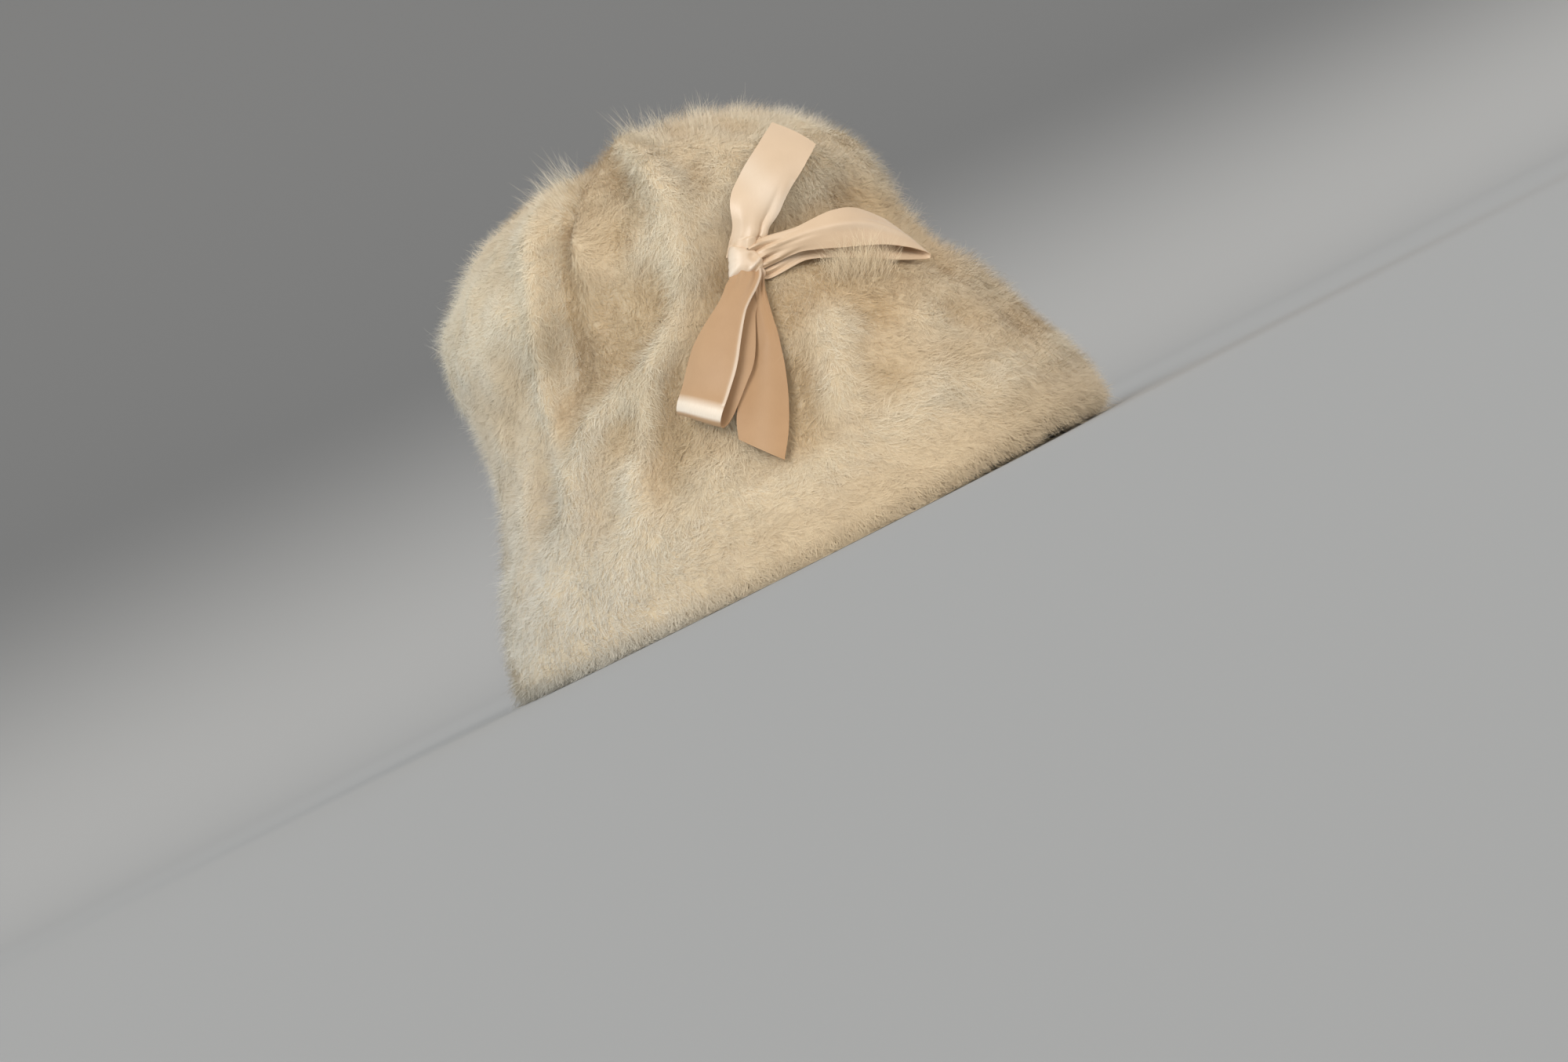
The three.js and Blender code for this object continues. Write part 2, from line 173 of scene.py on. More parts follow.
class Wiring:
    """Short words for wiring the nodes of one material or node group."""

    def __init__(self, tree):
        self.tree = tree

    def node(self, kind, **settings):
        """A new node of a kind, with its settings."""
        made = self.tree.nodes.new(kind)
        for key, value in settings.items():
            setattr(made, key, value)
        return made

    def feed(self, value, target):
        """Joins an output to an input, or sets the input to a plain value."""
        if hasattr(value, "is_output"):
            self.tree.links.new(value, target)
        else:
            target.default_value = value

    def feed_all(self, values, targets):
        for key, value in values.items():
            self.feed(value, targets[key])

    def noise(self, place, scale, detail=3.0, roughness=0.55):
        made = self.node("ShaderNodeTexNoise")
        self.feed_all({"Vector": place, "Scale": scale,
                       "Detail": detail, "Roughness": roughness}, made.inputs)
        return made.outputs["Fac"]

    def mix(self, share, first, second, way="MIX"):
        made = self.node("ShaderNodeMix", data_type="RGBA", blend_type=way)
        self.feed_all({0: share, 6: first, 7: second}, made.inputs)
        return made.outputs[2]

    def spread(self, value, low, high, to_low=0.0, to_high=1.0):
        """The value's place between low and high, held within the new range."""
        made = self.node("ShaderNodeMapRange")
        self.feed_all({"Value": value, "From Min": low, "From Max": high,
                       "To Min": to_low, "To Max": to_high}, made.inputs)
        return made.outputs["Result"]

    def worth(self, name):
        """What the mesh says of itself under this name."""
        return self.node("ShaderNodeAttribute", attribute_name=name).outputs["Fac"]

    def here(self):
        """The place on the piece."""
        return self.node("ShaderNodeTexCoord").outputs["Object"]

    def bump(self, height, strength, distance):
        made = self.node("ShaderNodeBump")
        self.feed_all({"Height": height, "Strength": strength, "Distance": distance}, made.inputs)
        return made.outputs["Normal"]


def new_stuff(name, settings):
    """A fresh material with these settings, its wiring and its shader's sockets."""
    material = bpy.data.materials.new(name)
    material.use_nodes = True
    wiring = Wiring(material.node_tree)
    sockets = material.node_tree.nodes["Principled BSDF"].inputs
    wiring.feed_all(settings, sockets)
    return material, wiring, sockets


paper, wiring, sockets = new_stuff("backdrop_paper", {"Roughness": 0.9, "Specular IOR Level": 0.0})
height_parts = wiring.node("ShaderNodeSeparateXYZ")
wiring.feed(wiring.here(), height_parts.inputs[0])
dimming = wiring.node("ShaderNodeMapRange", interpolation_type="SMOOTHSTEP")
wiring.feed(height_parts.outputs["Z"], dimming.inputs["Value"])
dimming.inputs["From Max"].default_value = WALL_DIMMED_BY
wiring.feed(wiring.mix(dimming.outputs["Result"], FLOOR_GREY, WALL_GREY), sockets["Base Color"])
floor.data.materials.append(paper)

# ------------------------------------------------------------
# The felt body. One cone of fur felt, steamed and draped by hand into folds on the wearer's right,
# its brim's edge turned under. The felt is smooth and dark inside, and shows outside only between hairs.
# ------------------------------------------------------------
MM = 0.001
FELT_UNDER_PILE = 1.6 * MM       # how much of the solid's wall is pile rather than felt
DRAPE_DEPTH = 0.45               # the pile softens the drapes, so the felt is draped deeper
POCKET_DEPTH = 4.0 * MM          # past this depth the pile fills a pocket
POCKET_DRAPE = 0.6
CREST_DRAPE = 2.0 * MM           # the most that a crest is raised, and that a valley is lowered
VALLEY_DRAPE = 1.3 * MM
FELT_OVER_FLOOR = 0.4 * MM
WELD = 0.02 * MM                 # the solids' triangles meet closer than this
NEARLY_FLAT = math.radians(60)


def rows_of(items, key, width=3, kind=float):
    """A row of so many values from each of a mesh's items."""
    values = np.empty(len(items) * width, kind)
    items.foreach_get(key, values)
    return values.reshape(-1, width)


def mesh_points(thing):
    return rows_of(thing.data.vertices, "co")


def mesh_normals(thing):
    return rows_of(thing.data.vertex_normals, "vector")


def store(mesh, **titled):
    """Stores values for a mesh's points, under the titles that its material reads."""
    for title, values in titled.items():
        layer = mesh.attributes.new(title, "FLOAT", "POINT")
        layer.data.foreach_set("value", values.astype(np.float32).ravel())


def unit(vectors):
    return vectors / np.maximum(np.linalg.norm(vectors, axis=-1, keepdims=True), 1e-12)


def dots(first, second):
    return np.einsum("ij,ij->i", first, second)


def ramp(value, start, end):
    """0 at the start, rising to 1 at the end, and held beyond them."""
    return np.clip((value - start) / (end - start), 0, 1)


def new_piece(name, mesh):
    """A new object, which is then the chosen one."""
    piece = bpy.data.objects.new(name, mesh)
    bpy.context.scene.collection.objects.link(piece)
    bpy.ops.object.select_all(action="DESELECT")
    bpy.context.view_layer.objects.active = piece
    piece.select_set(True)
    return piece


def merged_copy(node, name):
    """A copy of a solid as one joined skin, ready to be shaped."""
    piece = new_piece(name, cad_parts[node].data.copy())
    piece.data.materials.clear()
    if piece.data.has_custom_normals:
        bpy.ops.mesh.customdata_custom_splitnormals_clear()
    edit_all(bpy.ops.mesh.remove_doubles, threshold=WELD)
    return piece


felt = merged_copy("hat_body", "felt_body")
edit_all(bpy.ops.mesh.tris_convert_to_quads, face_threshold=NEARLY_FLAT, shape_threshold=NEARLY_FLAT)
bpy.ops.object.shade_smooth()

points = mesh_points(felt)
normals = mesh_normals(felt)
HEAD_MIDDLE = np.array((0, 0, 40 * MM))
joins = rows_of(felt.data.edges, "vertices", 2, int)

# The outer side spreads down from the crown's top; only round the rim's edge do the normals tell.
TURNED_EDGE = 12 * MM
high = points[:, 2] > TURNED_EDGE
outside = points[:, 2] > points[:, 2].max() - 1 * MM
high_joins = joins[high[joins].all(1)]
reached = 0
while outside.sum() > reached:
    reached = outside.sum()
    outside[high_joins[outside[high_joins].any(1)]] = True
outside[~high] = (dots(normals, points - HEAD_MIDDLE) > 0)[~high]

# How far each place stands out from the felt round it: above zero on a crest, below in a valley.
FOLD_SPAN = 16 * MM
ABOVE_BRIM = 35 * MM
FOLDS_END = 20 * MM              # the height at which the folds end in the brim
FOLDS_FULL = 45 * MM             # and from which they have their full depth
outer_points = points[outside]
apart = ((outer_points[:, None, :] - outer_points[None, :, :]) ** 2).sum(2)
weight = np.exp(-apart / (2 * FOLD_SPAN ** 2)) * (normals[outside] @ normals[outside].T > 0)
around = weight @ outer_points / weight.sum(1, keepdims=True)
standing = np.zeros(len(points))
standing[outside] = dots(outer_points - around, normals[outside])
folded = outside & (points[:, 2] > ABOVE_BRIM)
standing[folded] -= np.median(standing[folded])
standing *= ramp(points[:, 2], FOLDS_END, FOLDS_FULL)

draping = np.clip(standing * DRAPE_DEPTH, -VALLEY_DRAPE, CREST_DRAPE)
draping += POCKET_DRAPE * np.maximum(-standing - POCKET_DEPTH, 0)
lowered = points + normals * (outside * (draping - FELT_UNDER_PILE))[:, None]
lowered[:, 2] = np.maximum(lowered[:, 2], FELT_OVER_FLOOR)
felt.data.vertices.foreach_set("co", lowered.ravel())
store(felt.data, fold_height=standing / MM, outer_side=outside)
felt.data.update()
rounding = felt.modifiers.new("rounding", "SUBSURF")
rounding.levels = 1
rounding.render_levels = 1
bpy.ops.object.modifier_apply(modifier="rounding")


fur_felt, wiring, sockets = new_stuff(
    "fur_felt", {"Roughness": 0.92, "Specular IOR Level": 0.15, "Sheen Weight": 0.25})
here = wiring.here()
outer_tan = wiring.mix(wiring.noise(here, 220), (0.60, 0.47, 0.31, 1), (0.72, 0.60, 0.42, 1))
inner_brown = wiring.mix(wiring.noise(here, 90), (0.13, 0.078, 0.045, 1), (0.20, 0.13, 0.08, 1))
side = wiring.spread(wiring.worth("outer_side"), 0.3, 0.7)
wiring.feed(wiring.mix(side, inner_brown, outer_tan), sockets["Base Color"])
wiring.feed(wiring.bump(wiring.noise(here, 900, 5, 0.7), 0.55, 0.0006), sockets["Normal"])
felt.data.materials.append(fur_felt)
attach(felt, "root")
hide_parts("hat_body")

# ------------------------------------------------------------
# The ribbon bow. Satin ribbon 19 mm wide and a third of a millimetre thick, tied in one knot: two
# loops folded back to the knot and two cut tails, gathered into small pleats where the knot grips them.
# ------------------------------------------------------------
RIBBON_THICK = 0.34 * MM
RIBBON_WIDTH = 19 * MM
INTO_KNOT = 3.5 * MM             # how far the gathered necks run on under the knot
NECK_REACH = 26 * MM             # how far from the knot a ribbon is back to its own width
NEAR_KNOT = 15 * MM              # an end that is nearer than this goes into the knot
PLEATS_FROM = 5 * MM             # where the pleats begin to open, and how fast
PLEATS_FADE = 6.5 * MM
STEPS_ACROSS = 4                 # of each ribbon's solid
FINER_ALONG = 4
FINER_ACROSS = 7
SHARP_EDGE = math.radians(62)    # between the faces of a ribbon's solid
SOFT_EDGE = math.radians(40)     # and what is shaded smooth on the cloth
PLEAT_DEPTH = 0.5 * MM
CLOTH_SWAY = 0.3 * MM
knot_low, knot_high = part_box("bow_knot")
KNOT_MIDDLE = np.array((knot_low + knot_high) / 2)


def ribbon_face(node):
    """The points of a ribbon solid's face, in rows across the ribbon, from its knot end on."""
    solid = merged_copy(node, "ribbon_pattern")
    spots = mesh_points(solid)
    corners = np.array([p.vertices[:] for p in solid.data.polygons])
    bpy.data.objects.remove(solid)
    first, second, third = (spots[corners[:, k]] for k in range(3))
    cross = np.cross(second - first, third - first)
    facing = unit(cross)
    beside = {}
    for face, triangle in enumerate(corners):
        for a, b in zip(triangle, np.roll(triangle, -1)):
            beside.setdefault((min(a, b), max(a, b)), []).append(face)
    group = np.arange(len(corners))

    def head(face):
        while group[face] != face:
            face = group[face]
        return face

    for pair in beside.values():
        if len(pair) == 2 and facing[pair[0]] @ facing[pair[1]] > math.cos(SHARP_EDGE):
            group[head(pair[0])] = head(pair[1])
    heads = np.array([head(face) for face in range(len(corners))])
    area = {h: np.linalg.norm(cross[heads == h], axis=1).sum() for h in set(heads)}
    chosen = corners[heads == max(area, key=area.get)]
    following, near = {}, {}
    used = {(a, b) for t in chosen for a, b in zip(t, np.roll(t, -1))}
    for a, b in used:
        near.setdefault(a, set()).add(b)
        near.setdefault(b, set()).add(a)
        if (b, a) not in used:
            following[a] = b
    rim = [next(iter(following))]
    while following[rim[-1]] != rim[0]:
        rim.append(following[rim[-1]])
    rim_points = spots[rim]
    ahead = unit(np.roll(rim_points, -1, 0) - rim_points)
    turn = 1 - dots(ahead, np.roll(ahead, 1, 0))
    total = len(rim)
    long_side = total // 2 - STEPS_ACROSS
    bends = (0, STEPS_ACROSS, STEPS_ACROSS + long_side, 2 * STEPS_ACROSS + long_side)
    starts = [sum(turn[(s + k) % total] for k in bends) for s in range(total)]
    best = sorted(range(total), key=lambda s: -starts[s])[:2]
    start = min(best, key=lambda s: np.linalg.norm(spots[rim[s]] - KNOT_MIDDLE))
    around = np.roll(rim, -start)
    rows = [[around[k] for k in range(STEPS_ACROSS + 1)]]
    taken = set(rim)
    for i in range(1, long_side + 1):
        row = [around[-i]]
        if i < long_side:
            for j in range(1, STEPS_ACROSS):
                found = (near[rows[-1][j]] & near[row[-1]]) - taken
                row.append(min(found, key=lambda v: np.linalg.norm(spots[v] - spots[rows[-1][j]])))
                taken.add(row[-1])
            row.append(around[STEPS_ACROSS + i])
        else:
            row += [around[-i - j] for j in range(1, STEPS_ACROSS + 1)]
        rows.append(row)
    return spots[np.array(rows)]


def finer(grid, times):
    """A smooth grid with so many steps for each one of the given grid's rows."""
    before = np.concatenate([2 * grid[:1] - grid[1:2], grid[:-1]])[: len(grid) - 1]
    after = np.concatenate([grid[2:], 2 * grid[-1:] - grid[-2:-1]])
    a, b = grid[:-1], grid[1:]
    slope_a, slope_b = (b - before) / 2, (after - a) / 2
    rows = []
    for part in np.arange(times) / times:
        s, q = part * part * (3 - 2 * part), part * (1 - part)
        rows.append(a + (b - a) * s + slope_a * q * (1 - part) - slope_b * q * part)
    fine = np.stack(rows, 1).reshape((-1,) + grid.shape[1:])
    return np.concatenate([fine, grid[-1:]])


def grid_faces(grid):
    rows, columns = grid.shape[:2]
    number = np.arange(rows * columns).reshape(rows, columns)
    corners = (number[:-1, :-1], number[1:, :-1], number[1:, 1:], number[:-1, 1:])
    return np.stack(corners, -1).reshape(-1, 4)


def ribbon_piece(name, node, stuff, neck, upper, lower, pleats, seed, form, pressed):
    """A ribbon on a solid's face, gathered into the knot in pleats and given its thickness.

    The neck is its width at the knot. Upper and lower widen the leaf that is seen and the one
    behind it. The form adds height to the cloth, and pressed says where a highlight is painted on it.
    """
    face = ribbon_face(node)
    middle = face.mean(1, keepdims=True)
    far = np.linalg.norm(middle - KNOT_MIDDLE, axis=2)[..., None]
    wide = np.linalg.norm(face[:, -1:] - face[:, :1], axis=2)[..., None]
    nipped = neck * np.exp(-(far / NECK_REACH) ** 4)
    under = np.clip(np.linspace(-3, 4, len(face)), 0, 1)[:, None, None]
    eased = upper * (1 - under) + lower * under
    wanted = (np.minimum(wide * eased, RIBBON_WIDTH) ** 8 + nipped ** 8) ** 0.125
    face = middle + (face - middle) * wanted / wide
    ends = [0, -1] if far[-1, 0, 0] < NEAR_KNOT else [0]
    for end in ends:
        inward = unit(KNOT_MIDDLE - middle[end, 0]) * INTO_KNOT
        row = (face[end] + inward)[None]
        face = np.concatenate([row, face] if end == 0 else [face, row])
    grid = finer(face, FINER_ALONG)
    grid = finer(grid.transpose(1, 0, 2), FINER_ACROSS).transpose(1, 0, 2)
    out = unit(np.cross(np.gradient(grid, axis=0), np.gradient(grid, axis=1)))
    outer_row = len(grid) // 6
    if out[outer_row].mean(0) @ (KNOT_MIDDLE - HEAD_MIDDLE) < 0:
        out = -out
    across = np.linspace(0, 1, grid.shape[1])[None, :]
    reach = np.linalg.norm(grid - KNOT_MIDDLE, axis=2)
    steps = np.linalg.norm(np.diff(grid[:, grid.shape[1] // 2], axis=0), axis=1)
    along = np.concatenate([[0], np.cumsum(steps)])
    run = along[:, None] / along[-1]
    gathered = np.exp(-np.maximum(reach - PLEATS_FROM, 0) / PLEATS_FADE)
    fold = np.sin(2 * math.pi * (across * pleats + 0.13 * seed) + 2.2 * reach / (9 * MM))
    fold += 0.5 * np.sin(2 * math.pi * (across * (pleats + 2.3) + 0.41 * seed))
    sway = CLOTH_SWAY * np.sin(2 * math.pi * (1.1 * run + 0.6 * across + 0.2 * seed))
    sway = sway * np.sin(math.pi * run)
    height = PLEAT_DEPTH * pleats * fold * gathered + sway * (1 - gathered)
    height = height + form(run, across, reach)
    grid = grid + out * height[..., None]
    faces = grid_faces(grid)
    mesh = bpy.data.meshes.new(name)
    mesh.from_pydata(grid.reshape(-1, 3).tolist(), [], faces.tolist())
    places = np.stack(np.broadcast_arrays(across * RIBBON_WIDTH, along[:, None]), -1).reshape(-1, 2)
    wrap = mesh.uv_layers.new(name="UVMap")
    wrap.data.foreach_set("uv", places[faces.ravel()].ravel())
    store(mesh, pressed=np.clip(pressed(run, across, reach) + 0 * reach, 0, 1))
    piece = new_piece(name, mesh)
    bpy.ops.object.shade_smooth()
    wall = piece.modifiers.new("cloth_thickness", "SOLIDIFY")
    wall.thickness = RIBBON_THICK
    wall.offset = 0
    wall.use_even_offset = False
    bpy.ops.object.modifier_apply(modifier="cloth_thickness")
    bpy.ops.object.shade_smooth_by_angle(angle=SOFT_EDGE)
    piece.data.materials.append(stuff)
    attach(piece, "root")
    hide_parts(node)
    return grid


def satin_weave():
    """Satin weave: fine threads along the ribbon, clouds in the dye, and a painted highlight where the
    mesh asks for one.
    """
    group = bpy.data.node_groups.new("satin_weave", "ShaderNodeTree")
    for title in ("Deep Dye", "Pale Dye", "Thread Shade"):
        group.interface.new_socket(name=title, in_out="INPUT", socket_type="NodeSocketColor")
    for title in ("Smoothest", "Roughest"):
        group.interface.new_socket(name=title, in_out="INPUT", socket_type="NodeSocketFloat")
    group.interface.new_socket(name="Color", in_out="OUTPUT", socket_type="NodeSocketColor")
    for title in ("Roughness", "Thread Height"):
        group.interface.new_socket(name=title, in_out="OUTPUT", socket_type="NodeSocketFloat")
    wiring = Wiring(group)
    given = wiring.node("NodeGroupInput").outputs
    result = wiring.node("NodeGroupOutput").inputs
    stretch = wiring.node("ShaderNodeMapping")
    stretch.inputs["Scale"].default_value = (1.0, 0.08, 1.0)
    wiring.feed(wiring.node("ShaderNodeTexCoord").outputs["UV"], stretch.inputs["Vector"])
    threads = wiring.noise(stretch.outputs["Vector"], 5200, 2, 0.6)
    dye = wiring.mix(wiring.noise(wiring.here(), 130, 3, 0.5), given["Deep Dye"], given["Pale Dye"])
    # Painted highlight: the dye is mixed toward a pale peach by the pressed share.
    with_painted_shine = wiring.mix(wiring.worth("pressed"), dye, (0.81, 0.70, 0.575, 1))
    thready = wiring.mix(wiring.spread(threads, 0.3, 0.7, 0.0, 0.12), with_painted_shine, given["Thread Shade"])
    feel = wiring.spread(threads, 0.25, 0.75, given["Smoothest"], given["Roughest"])
    wiring.feed_all({"Color": thready, "Roughness": feel, "Thread Height": threads}, result)
    return group


def satin_stuff(name, weave, deep, pale, thread, smoothest, roughest, gloss):
    """The satin from the shared weave, with its own dye and smoothness; the darker copy is painted shade.
    """
    material, wiring, sockets = new_stuff(name, {
        "Specular IOR Level": gloss, "Anisotropic": 0.4, "Sheen Weight": 0.12, "Sheen Roughness": 0.4})
    cloth = wiring.node("ShaderNodeGroup", node_tree=weave)
    wiring.feed_all({"Deep Dye": deep, "Pale Dye": pale, "Thread Shade": thread,
                     "Smoothest": smoothest, "Roughest": roughest}, cloth.inputs)
    wiring.feed(cloth.outputs["Color"], sockets["Base Color"])
    wiring.feed(cloth.outputs["Roughness"], sockets["Roughness"])
    wiring.feed(wiring.bump(cloth.outputs["Thread Height"], 0.10, 0.0002), sockets["Normal"])
    return material


weave = satin_weave()
satin = satin_stuff("peach_satin", weave, deep=(0.64, 0.475, 0.32, 1), pale=(0.71, 0.535, 0.37, 1),
                    thread=(0.57, 0.40, 0.26, 1), smoothest=0.34, roughest=0.44, gloss=0.6)
# A darker copy of the satin for the hanging loop and the lower tail: painted shade, as they face down
# away from the light.
satin_painted_shade = satin_stuff("peach_satin_painted_shade", weave, deep=(0.415, 0.245, 0.122, 1),
                         pale=(0.47, 0.285, 0.148, 1), thread=(0.36, 0.205, 0.10, 1),
                         smoothest=0.42, roughest=0.55, gloss=0.4)


def hump(at, middle, spread):
    return np.exp(-((at - middle) / spread) ** 2)


def upright_form(run, across, reach):
    """The upright tail is creased along its back edge, where the knot nips it, and curls a little."""
    near = np.exp(-(reach / (19 * MM)) ** 2)
    crease = hump(across, 0.78, 0.05) * near
    rolled = hump(across, 0.94, 0.08) * near
    curl = np.sin(math.pi * np.clip(run, 0, 1)) * (across - 0.5) ** 2
    return 1.2 * MM * rolled - 1.6 * MM * crease - 3.5 * MM * curl


# Painted highlight on the upright tail: a band across its middle and along its back edge.
def upright_painted_shine(run, across, reach):
    edge = hump(across, 0.97, 0.05) * (run < 0.6)
    return 0.08 + 0.40 * hump(run, 0.52 - 0.2 * across, 0.12) + 0.3 * edge


def front_form(run, across, reach):
    """The front loop is folded flat, with a soft ridge that runs out along it to the fold."""
    return 0.9 * MM * hump(across, 0.35 + 0.5 * run, 0.12) * hump(run, 0.33, 0.14)


# Painted highlight along the front loop's ridge.
def front_painted_shine(run, across, reach):
    return 0.35 * hump(across, 0.42 + 0.5 * run, 0.08) * hump(run, 0.36, 0.12)


def hanging_form(run, across, reach):
    """The hanging loop's front flares out at its fold and has a rolled edge at one side."""
    lip = hump(run, 0.475, 0.04)
    rolled = hump(across, 0.03, 0.06) * ramp(run, 0.5, 0)
    return 1.3 * MM * lip + 0.9 * MM * rolled


# Painted highlight in a band where the hanging loop turns at its fold, and along its rolled edge.
def hanging_painted_shine(run, across, reach):
    band = ramp(run, 0.440, 0.465) * ramp(run, 0.494, 0.488)
    return 0.06 + 0.94 * band + 0.75 * hump(across, 0.02, 0.035) * (run < 0.45)


def lower_tail_form(run, across, reach):
    return 0.8 * MM * np.sin(math.pi * run) * np.sin(2 * math.pi * across)


# Painted highlight on the lower tail near the knot.
def lower_tail_painted_shine(run, across, reach):
    return 0.05 * hump(across, 0.5, 0.2) + 0.6 * np.exp(-(reach / (9 * MM)) ** 4)


tail_up_grid = ribbon_piece(
    "ribbon_tail_up", "bow_tail_up", satin, neck=13.5 * MM, upper=1, lower=1,
    pleats=1.1, seed=1, form=upright_form, pressed=upright_painted_shine)
loop_front_grid = ribbon_piece(
    "ribbon_loop_front", "bow_loop_front", satin, neck=11 * MM, upper=1.24, lower=1.7,
    pleats=2.9, seed=2, form=front_form, pressed=front_painted_shine)
loop_down_grid = ribbon_piece(
    "ribbon_loop_down", "bow_loop_down", satin_painted_shade, neck=11.5 * MM, upper=1, lower=1,
    pleats=1.2, seed=3, form=hanging_form, pressed=hanging_painted_shine)
tail_down_grid = ribbon_piece(
    "ribbon_tail_down", "bow_tail_down", satin_painted_shade, neck=9 * MM, upper=1, lower=1,
    pleats=2.4, seed=4, form=lower_tail_form, pressed=lower_tail_painted_shine)

# The knot: one short turn of the same ribbon, drawn tight across the gathered necks. Its turn lies flat
# toward the back and rolls over a dimple toward the front, with a crease where the two meet below.
# Each row: degrees round the knot from its front edge, counted upward, and its half width there in mm.
KNOT_OUTLINE = [
    (-85, 6), (-45, 7), (-5, 7), (30, 6), (70, 5), (100, 5.7), (125, 7.5), (150, 6.3), (175, 5.7),
    (200, 6.5), (220, 8.5), (240, 6.7), (275, 6),
]
KNOT_FRONT = 4.6 * MM            # how far it stands out in front of its middle, and how far behind
KNOT_BACK = 3.6 * MM
UPRIGHT_LEAN = math.radians(25)  # the upright tail leans this much toward the front

knot_out = unit(KNOT_MIDDLE * (1, 1, 0) + np.array((0, 0, 12 * MM)))
tail_line = tail_up_grid[-20].mean(0) - KNOT_MIDDLE
tail_line = unit(tail_line - knot_out * (tail_line @ knot_out))
knot_up = tail_line * math.cos(UPRIGHT_LEAN) + np.cross(knot_out, tail_line) * math.sin(UPRIGHT_LEAN)
knot_forth = np.cross(knot_up, knot_out)

bpy.ops.mesh.primitive_uv_sphere_add(segments=72, ring_count=48, radius=1)
knot = bpy.context.object
knot.name = "ribbon_knot"
ball = mesh_points(knot)
round_angle = np.degrees(np.arctan2(ball[:, 1], ball[:, 0]))
outline_angles, outline_widths = np.array(KNOT_OUTLINE).T
first_angle = outline_angles[0]
outline_place = np.mod(round_angle - first_angle, 360) + first_angle
half_width = np.interp(outline_place, outline_angles, outline_widths) * MM
out_share = np.minimum(np.hypot(ball[:, 0], ball[:, 1]), 1) ** 0.75
forth = half_width * out_share * np.cos(np.radians(round_angle))
rise = half_width * out_share * np.sin(np.radians(round_angle))
depth = np.sign(ball[:, 2]) * (1 - out_share ** 3.4) ** 0.55
depth *= np.where(ball[:, 2] > 0, KNOT_FRONT, KNOT_BACK)
crease_from = np.array((0.6, -5.8)) * MM
crease_line = np.array((4.4, -2.2)) * MM - crease_from
from_start = np.stack([forth, rise], 1) - crease_from
crease_run = np.clip((from_start @ crease_line) / (crease_line @ crease_line), 0, 1)
from_crease = from_start - crease_run[:, None] * crease_line
above_crease = from_crease @ unit(np.array((-0.68, 0.73)))
in_front = ball[:, 2] > 0
groove = hump(above_crease, -0.5 * MM, 0.55 * MM) * hump(crease_run, 0.4, 0.6)
ridge = hump(above_crease, 0.7 * MM, 0.7 * MM) * hump(crease_run, 0.5, 0.6)
beside = np.linalg.norm(from_crease, axis=1) < 3 * MM
dimple = np.exp(-((forth - 2.7 * MM) ** 2 + (rise - 0.6 * MM) ** 2) / (1.9 * MM) ** 2)
flat_side = ramp(forth, -1 * MM, -6 * MM)
depth += in_front * MM * (beside * (0.7 * ridge - 1.1 * groove) - 1.1 * dimple - 0.9 * flat_side)
shaped = KNOT_MIDDLE + knot_forth * forth[:, None] + knot_up * rise[:, None] + knot_out * depth[:, None]
knot.data.vertices.foreach_set("co", shaped.ravel())
knot.data.update()
bpy.ops.object.shade_smooth()
# Painted highlight on the knot's flat side and ridge, and painted shade in its dimple and crease groove.
pale = np.clip(0.30 + 0.6 * flat_side + 0.5 * beside * ridge - 0.6 * dimple - 0.8 * beside * groove, 0, 1)
store(knot.data, pressed=pale)
knot.data.materials.append(satin)
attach(knot, "root")
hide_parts("bow_knot")

# ------------------------------------------------------------
# The pile. Fine rabbit-like hairs raised from the felt: a dense woolly undercoat, a longer coat that
# was brushed into soft locks and whorls, and loose hairs that stand out as a halo round the hat.
# ------------------------------------------------------------
# How the brush left the hair. Each row: the angle from the front toward the wearer's right, the height
# in mm, and the heading: 0 runs round toward the wearer's left, 90 up, 180 toward the back, -90 down.
BRUSHED = [
    # the smooth lobe at the back
    (92, 165, 170), (92, 150, -150), (94, 125, -140), (100, 160, 180), (105, 135, 180),
    (115, 110, -170), (110, 85, -145), (140, 155, -170), (145, 105, -165),
    # the panel between the lobe and the front fold, and the pocket at its foot
    (75, 160, 0), (75, 145, -20), (80, 130, -25), (80, 110, -30), (80, 100, -20), (65, 125, -55),
    (70, 110, -50), (85, 130, -110), (90, 95, -135), (75, 95, -155),
    # down the front fold and back along its foot, and beside it
    (45, 165, -110), (50, 140, -100), (55, 120, -115), (65, 105, -140), (75, 85, -130), (80, 70, -120),
    (35, 160, -130), (45, 130, -105), (55, 110, -130), (70, 55, -120), (80, 45, -155),
    # forward over the crown, and the front of the crown
    (35, 165, 30), (20, 165, 30), (5, 160, 20), (15, 130, -125), (5, 125, -115), (0, 105, 20),
    (-10, 100, -50),
    # the whorl beside the hanging loop
    (40, 95, -10), (35, 85, -125), (40, 75, -130), (40, 55, -140), (50, 60, -100), (30, 60, -25),
    # the brim, at the front and at the side
    (20, 65, -60), (10, 55, -145), (15, 35, -50), (25, 25, -25), (40, 30, -40), (-5, 50, -100),
    (65, 30, -15), (75, 20, -20), (95, 40, -115), (110, 35, -115), (125, 60, -160), (125, 10, -145),
]
